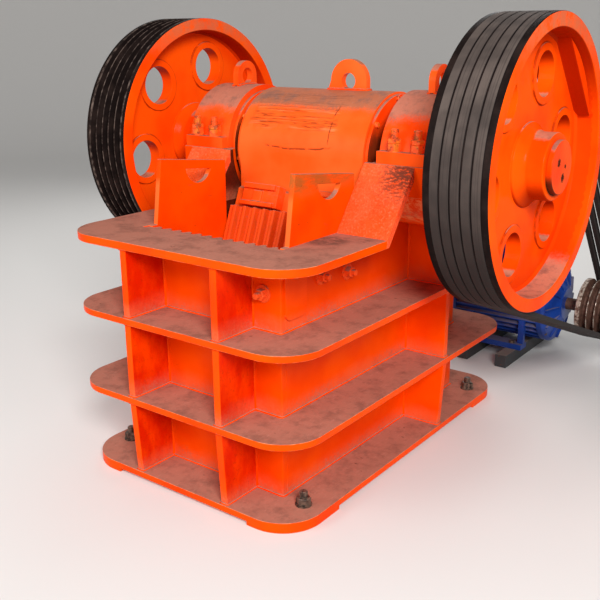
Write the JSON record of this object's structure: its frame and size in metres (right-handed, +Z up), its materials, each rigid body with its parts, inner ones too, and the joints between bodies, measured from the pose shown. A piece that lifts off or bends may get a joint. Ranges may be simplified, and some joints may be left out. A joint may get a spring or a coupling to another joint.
{
  "type": "jaw crusher",
  "caption": "Jaw crusher with corrugated jaws in a flanged, welded box frame, an eccentric shaft in split bearing caps, two grooved dished wheels and a belt drive to a motor.",
  "frame": {"origin": "centre of the four anchor bolt holes, on the ground face of the base pads", "axes": "+X along the eccentric shaft to the drive wheel, +Y from the fixed jaw to the toggle end, +Z up"},
  "size_m": [1.918, 2.545, 1.6809],
  "materials": {
    "orange_paint": "glossy machine enamel with stone dust",
    "machined_steel": "turned and oiled",
    "jaw_steel": "manganese steel casting, dusty",
    "belt_rubber": "cloth-covered belt, dusty",
    "blue_paint": "satin enamel",
    "rail_paint": "dark primer",
    "sheave_iron": "cast iron, dusty"
  },
  "bodies": {
    "frame": {"base_flange": "orange_paint", "lower_flange": "orange_paint", "upper_flange": "orange_paint", "top_flange": "orange_paint", "front_wall": "orange_paint", "rear_wall": "orange_paint", "left_side_wall": "orange_paint", "right_side_wall": "orange_paint", "front_ribs": "orange_paint", "rear_ribs": "orange_paint", "left_side_ribs": "orange_paint", "right_side_ribs": "orange_paint", "slope_plate_left": "orange_paint", "slope_plate_right": "orange_paint", "rear_slope_plates": "orange_paint", "bearing_seat_left": "orange_paint", "bearing_seat_right": "orange_paint", "bearing_cap_left": "orange_paint", "bearing_cap_right": "orange_paint", "main_bearings": "machined_steel", "bearing_covers": "orange_paint", "cheek_plate_left": "orange_paint", "cheek_plate_right": "orange_paint", "fixed_jaw_plate": "orange_paint", "toggle_beam": "orange_paint", "toggle_block": "jaw_steel", "adjusting_wedges": "jaw_steel", "toggle_plate": "jaw_steel", "tension_rod": "machined_steel", "tension_spring": "machined_steel", "v_belts": "belt_rubber", "motor_body": "blue_paint", "motor_fan_cowl": "blue_paint", "motor_end_bell": "blue_paint", "motor_terminal_box": "blue_paint", "motor_slide_rails": "rail_paint"},
    "shaft": {"eccentric_shaft": "machined_steel", "flywheel_left": "orange_paint", "drive_wheel_right": "orange_paint", "hub_end_plates": "orange_paint"},
    "swing_jaw": {"pitman": "orange_paint", "pitman_end_covers": "orange_paint", "moving_jaw_plate": "orange_paint", "jaw_clamps": "orange_paint"},
    "motor_rotor": {"motor_sheave": "sheave_iron"}
  },
  "joints": [
    {"name": "shaft_spin", "type": "hinge", "parent": "frame", "child": "shaft", "pos_m": [0, 0.175, 1.16], "axis": [1, 0, 0], "continuous": true},
    {"name": "jaw_swing", "type": "hinge", "parent": "shaft", "child": "swing_jaw", "pos_m": [0, 0.16615, 1.15189], "axis": [1, 0, 0], "continuous": true},
    {"name": "motor_spin", "type": "hinge", "parent": "frame", "child": "motor_rotor", "pos_m": [0.811, 1.39, 0.29], "axis": [1, 0, 0], "continuous": true}
  ],
  "couplings": [
    {"joint": "jaw_swing", "follows": "shaft_spin", "ratio": -1},
    {"joint": "motor_spin", "follows": "shaft_spin", "ratio": 3.5616}
  ]
}
